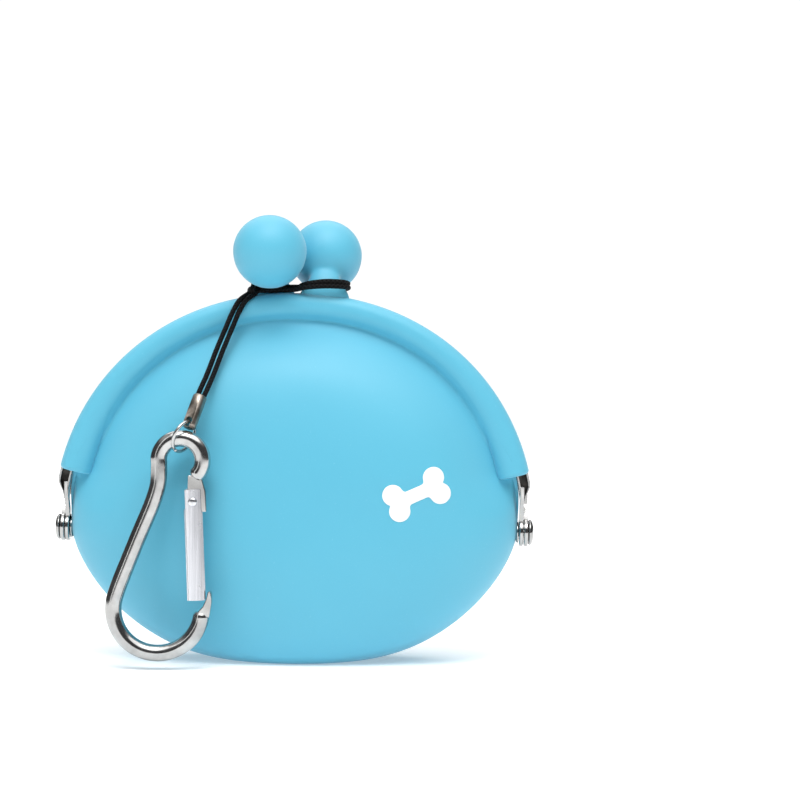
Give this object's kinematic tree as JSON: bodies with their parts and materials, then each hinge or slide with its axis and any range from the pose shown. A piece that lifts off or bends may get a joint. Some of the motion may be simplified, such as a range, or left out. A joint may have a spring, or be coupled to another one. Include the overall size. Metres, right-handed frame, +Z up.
{
  "type": "treat pouch",
  "caption": "Soft dome-shaped silicone pouch whose walls swing open on hinged steel arches with a ball clasp, with a looped cord and a snap hook.",
  "frame": {"origin": "middle of the flat base, on the surface it stands on", "axes": "+X to the right as the front wall is seen, +Y to the rear, +Z up"},
  "size_m": [0.1052, 0.0443, 0.097],
  "materials": {
    "silicone": "soft matte silicone",
    "nickel_steel": "bright nickel plate",
    "gunmetal": "satin gunmetal",
    "aluminium": "bright folded sheet",
    "nylon_cord": "fine round braid"
  },
  "bodies": {
    "pouch": {"pouch_base": "silicone", "left_rivet": "nickel_steel", "right_rivet": "nickel_steel"},
    "front_frame": {"front_wall": "silicone", "front_ball": "silicone", "front_frame_arch": "nickel_steel", "front_post": "nickel_steel", "strap_loop": "nylon_cord"},
    "rear_frame": {"rear_wall": "silicone", "rear_ball": "silicone", "rear_frame_arch": "nickel_steel", "rear_post": "nickel_steel"},
    "strap": {"strap_strand_left": "nylon_cord", "strap_strand_right": "nylon_cord", "ferrule": "gunmetal"},
    "ring": {"jump_ring": "nickel_steel"},
    "hook": {"hook_wire": "nickel_steel", "gate_pin": "aluminium", "gate_spring": "gunmetal"},
    "gate": {"hook_gate": "aluminium"}
  },
  "joints": [
    {"name": "front_open", "type": "hinge", "parent": "pouch", "child": "front_frame", "pos_m": [0, 0, 0.0284], "axis": [1, 0, 0], "range_deg": [0, 33], "deforming": ["front_ball"]},
    {"name": "rear_open", "type": "hinge", "parent": "pouch", "child": "rear_frame", "pos_m": [0, 0, 0.0284], "axis": [1, 0, 0], "range_deg": [-33, 0], "deforming": ["rear_ball"]},
    {"name": "strap_hang", "type": "hinge", "parent": "front_frame", "child": "strap", "pos_m": [-0.0094, -0.004, 0.0804], "axis": [1, 0, 0], "range_deg": [-25, 0]},
    {"name": "ring_swing", "type": "hinge", "parent": "strap", "child": "ring", "pos_m": [-0.021, -0.0216, 0.052], "axis": [0, 1, 0], "range_deg": [-12, 12]},
    {"name": "hook_lean", "type": "hinge", "parent": "ring", "child": "hook", "pos_m": [-0.0224, -0.02135, 0.0484], "axis": [0.9903, 0, -0.1392], "range_deg": [-79, 0]},
    {"name": "gate_open", "type": "hinge", "parent": "hook", "child": "gate", "pos_m": [-0.02023, -0.0216, 0.03534], "axis": [0, 1, 0], "range_deg": [0, 30], "stiffness_Nm_per_rad": 0.01, "deforming": ["gate_spring"]}
  ],
  "couplings": [
    {"joint": "rear_open", "follows": "front_open", "ratio": -1},
    {"joint": "hook_lean", "follows": "front_open", "ratio": -2.39}
  ]
}
